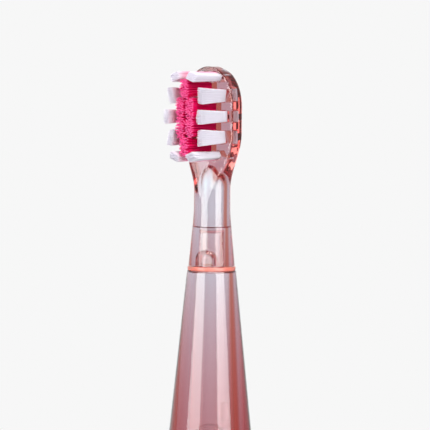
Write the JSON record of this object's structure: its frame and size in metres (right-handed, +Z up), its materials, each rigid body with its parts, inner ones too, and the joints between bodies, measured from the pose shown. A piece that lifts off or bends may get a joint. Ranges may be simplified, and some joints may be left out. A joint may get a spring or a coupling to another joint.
{
  "type": "electric toothbrush on charger",
  "caption": "Upright child's sonic toothbrush with a clear pink head and light cone, oval tufted head, white housing with soft pink grip, seated on a round induction charger.",
  "frame": {"origin": "centre of the charger's footprint, on the surface it stands on", "axes": "+Z up along the brush; the bristles and the power button face -Y; the charger's power inlet faces +Y"},
  "size_m": [0.058, 0.058, 0.2029],
  "materials": {
    "clear_pink": "clear pink moulded plastic, polished",
    "frosted_clear": "frosted clear plastic",
    "seal_coral": "coral pink ring, satin",
    "bristle_white": "white nylon filaments, faintly translucent",
    "bristle_pink": "hot-pink nylon filaments",
    "housing_white": "moulded white plastic, soft gloss",
    "grip_pink": "soft pink elastomer, fine moulded texture",
    "black_plastic": "moulded black plastic",
    "board_green": "green solder mask on glass-fibre board",
    "frame_plastic": "unpainted moulded plastic",
    "battery_wrap": "shrink-wrapped cell",
    "steel": "plated steel",
    "copper_wire": "enamelled copper winding",
    "ferrite": "sintered ferrite",
    "rubber_grey": "grey rubber"
  },
  "bodies": {
    "charger": {"charger_shell": "housing_white", "charger_cover": "housing_white", "primary_coil": "copper_wire", "ferrite_core": "ferrite", "charger_board": "board_green", "usb_socket": "steel", "usb_tongue": "black_plastic", "charge_light": "frosted_clear", "charger_foot_1": "rubber_grey", "charger_foot_2": "rubber_grey", "charger_foot_3": "rubber_grey", "charger_foot_4": "rubber_grey", "cover_screw_1": "steel", "cover_screw_2": "steel", "cover_screw_3": "steel", "cover_screw_4": "steel"},
    "handle": {"light_cone": "clear_pink", "light_diffuser": "frosted_clear", "led_lamp": "frosted_clear", "handle_body": "housing_white", "soft_grip": "grip_pink", "tact_switch": "black_plastic", "mode_light_1": "frosted_clear", "mode_light_2": "frosted_clear", "mode_light_3": "frosted_clear", "circuit_board": "board_green", "chassis_frame": "frame_plastic", "battery": "battery_wrap", "battery_contact_plus": "steel", "battery_contact_minus": "steel", "motor_can": "steel", "motor_damper": "rubber_grey", "receiving_coil": "copper_wire", "receiving_core": "ferrite", "bottom_cap": "housing_white", "bottom_seal": "rubber_grey"},
    "button": {"power_button": "grip_pink", "switch_plunger": "black_plastic"},
    "rotor": {"motor_shaft": "steel", "eccentric_weight": "steel"},
    "head": {"head_body": "clear_pink", "head_seal_ring": "seal_coral", "white_tuft_01": "bristle_white", "white_tuft_02": "bristle_white", "white_tuft_03": "bristle_white", "white_tuft_04": "bristle_white", "white_tuft_05": "bristle_white", "white_tuft_06": "bristle_white", "white_tuft_07": "bristle_white", "white_tuft_08": "bristle_white", "white_tuft_09": "bristle_white", "white_tuft_10": "bristle_white", "pink_tuft_01": "bristle_pink", "pink_tuft_02": "bristle_pink", "pink_tuft_03": "bristle_pink", "pink_tuft_04": "bristle_pink", "pink_tuft_05": "bristle_pink", "pink_tuft_06": "bristle_pink"}
  },
  "joints": [
    {"name": "brush_lift", "type": "slide", "parent": "charger", "child": "handle", "axis": [0, 0, 1], "range_m": [0, 0.03]},
    {"name": "head_pull", "type": "slide", "parent": "handle", "child": "head", "axis": [0, 0, 1], "range_m": [0, 0.02]},
    {"name": "button_press", "type": "slide", "parent": "handle", "child": "button", "axis": [0, 1, 0], "range_m": [0, 0.0005], "stiffness_N_per_m": 1500},
    {"name": "rotor_spin", "type": "hinge", "parent": "handle", "child": "rotor", "pos_m": [0, 0, 0.117], "axis": [0, 0, 1], "continuous": true}
  ]
}
